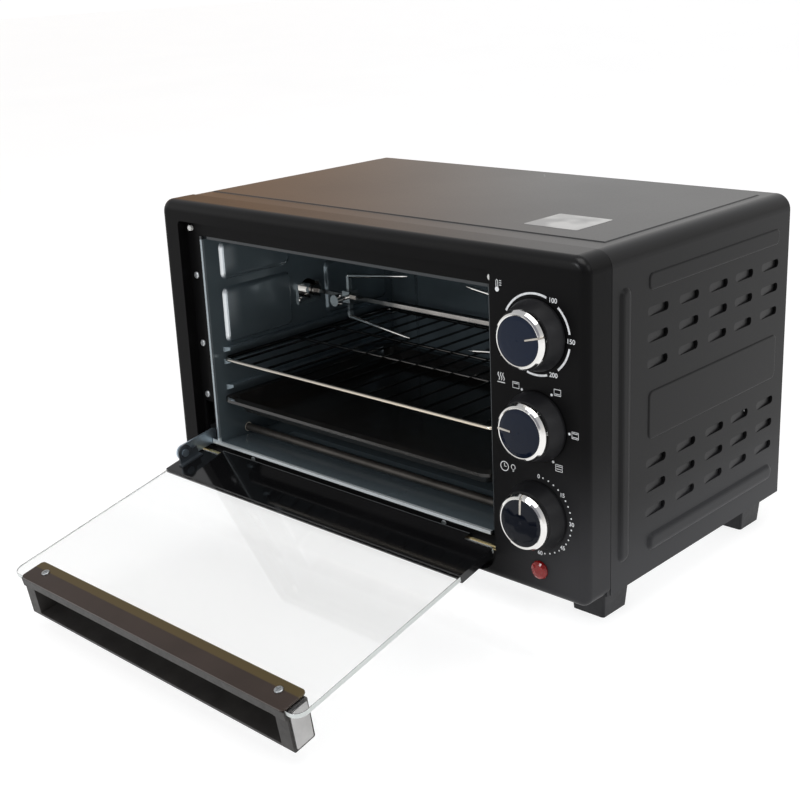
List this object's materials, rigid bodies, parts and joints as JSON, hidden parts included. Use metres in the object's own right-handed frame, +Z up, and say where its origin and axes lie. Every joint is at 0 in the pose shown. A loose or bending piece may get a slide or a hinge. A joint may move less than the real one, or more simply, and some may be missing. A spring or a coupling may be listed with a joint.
{
  "type": "toaster oven",
  "caption": "Countertop toaster oven with a drop-down glass door, rotary controls, wire rack, baking tray, tubular heaters and a rotisserie spit.",
  "frame": {"origin": "centre of the four-foot pattern on the plane that the feet stand on", "axes": "+X towards the knob side, +Y towards the back, +Z up; the door opens towards -Y"},
  "size_m": [0.4438, 0.4691, 0.2986],
  "materials": {
    "case_enamel": "satin charcoal-black baked enamel",
    "cavity_enamel": "glossy grey-blue coated sheet",
    "galvanised": "galvanised or zinc-plated sheet steel",
    "steel_wire": "plated steel wire and rod, slightly heat-tinted",
    "heater_steel": "stainless tube, dulled by heat",
    "ceramic": "unglazed steatite insulator",
    "tray_enamel": "glossy black vitreous enamel",
    "door_glass": "clear tempered glass",
    "black_gloss": "glossy black moulding",
    "black_matte": "matte black heat-resistant moulding",
    "handle_plate": "satin dark brown-black plate",
    "knob_black": "glossy blue-black moulding",
    "chrome_trim": "polished chrome",
    "brass": "turned brass",
    "lamp_red": "deep red translucent lens",
    "bumper_white": "white silicone rubber",
    "grey_plate": "silver-grey end plate"
  },
  "bodies": {
    "oven_body": {"front_bezel": "case_enamel", "cabinet_wrap": "case_enamel", "back_panel": "case_enamel", "bottom_panel": "galvanised", "foot_front_left": "black_matte", "foot_front_right": "black_matte", "foot_rear_left": "black_matte", "foot_rear_right": "black_matte", "foot_screws": "galvanised", "cavity_side_left": "cavity_enamel", "cavity_side_right": "cavity_enamel", "cavity_wrap_sheet": "cavity_enamel", "heater_lower_front": "heater_steel", "heater_lower_rear": "heater_steel", "heater_upper_front": "heater_steel", "heater_upper_rear": "heater_steel", "heater_insulators": "ceramic", "control_plate": "galvanised", "thermostat_body": "galvanised", "function_switch_body": "black_matte", "timer_body": "galvanised", "timer_bell": "chrome_trim", "switch_screws": "galvanised", "pilot_lamp_lens": "lamp_red", "pilot_lamp_holder": "black_matte", "bezel_screws": "galvanised", "door_bumpers": "bumper_white", "hinge_brackets": "galvanised", "spit_support_left": "galvanised", "spit_motor": "galvanised", "cord_inlet_bush": "black_matte", "terminal_block": "ceramic", "back_screws": "galvanised", "door_stay_spring": "steel_wire", "spring_lug": "galvanised"},
    "door": {"door_glass": "door_glass", "door_bottom_rail": "black_gloss", "hinge_pins": "brass", "door_link_bracket": "galvanised", "door_link_rivet": "galvanised", "handle_bar": "black_matte", "handle_end_plates": "grey_plate", "handle_inner_plate": "handle_plate", "handle_screws": "galvanised"},
    "door_stay": {"door_stay_link": "galvanised"},
    "rack": {"wire_rack": "steel_wire"},
    "tray": {"baking_tray": "tray_enamel"},
    "spit": {"spit_drive_socket": "steel_wire", "spit_rod": "steel_wire", "spit_forks": "steel_wire", "spit_thumbscrews": "chrome_trim"},
    "thermostat_knob": {"thermostat_knob_body": "knob_black", "thermostat_knob_ring": "chrome_trim", "thermostat_shaft": "galvanised"},
    "function_knob": {"function_knob_body": "knob_black", "function_knob_ring": "chrome_trim", "function_shaft": "galvanised"},
    "timer_knob": {"timer_knob_body": "knob_black", "timer_knob_ring": "chrome_trim", "timer_shaft": "galvanised"}
  },
  "joints": [
    {"name": "door_hinge", "type": "hinge", "parent": "oven_body", "child": "door", "pos_m": [-0.02, -0.1459, 0.0483], "axis": [1, 0, 0], "range_deg": [-103, 0]},
    {"name": "stay_pivot", "type": "hinge", "parent": "door", "child": "door_stay", "pos_m": [-0.19015, -0.17314, 0.05515], "axis": [1, 0, 0], "range_deg": [-1, 93], "deforming": ["door_stay_spring"]},
    {"name": "rack_slide", "type": "slide", "parent": "oven_body", "child": "rack", "axis": [0, -1, 0], "range_m": [0, 0.16]},
    {"name": "tray_slide", "type": "slide", "parent": "oven_body", "child": "tray", "axis": [0, -1, 0], "range_m": [0, 0.16]},
    {"name": "spit_turn", "type": "hinge", "parent": "oven_body", "child": "spit", "pos_m": [-0.025, -0.0245, 0.172], "axis": [1, 0, 0], "continuous": true},
    {"name": "thermostat_turn", "type": "hinge", "parent": "oven_body", "child": "thermostat_knob", "pos_m": [0.179, -0.1495, 0.2149], "axis": [0, 1, 0], "range_deg": [-135, 115]},
    {"name": "function_turn", "type": "hinge", "parent": "oven_body", "child": "function_knob", "pos_m": [0.179, -0.1495, 0.1512], "axis": [0, 1, 0], "range_deg": [0, 235]},
    {"name": "timer_turn", "type": "hinge", "parent": "oven_body", "child": "timer_knob", "pos_m": [0.179, -0.1495, 0.0865], "axis": [0, 1, 0], "range_deg": [0, 180]}
  ],
  "couplings": [
    {"joint": "stay_pivot", "follows": "door_hinge", "ratio": -0.893}
  ]
}
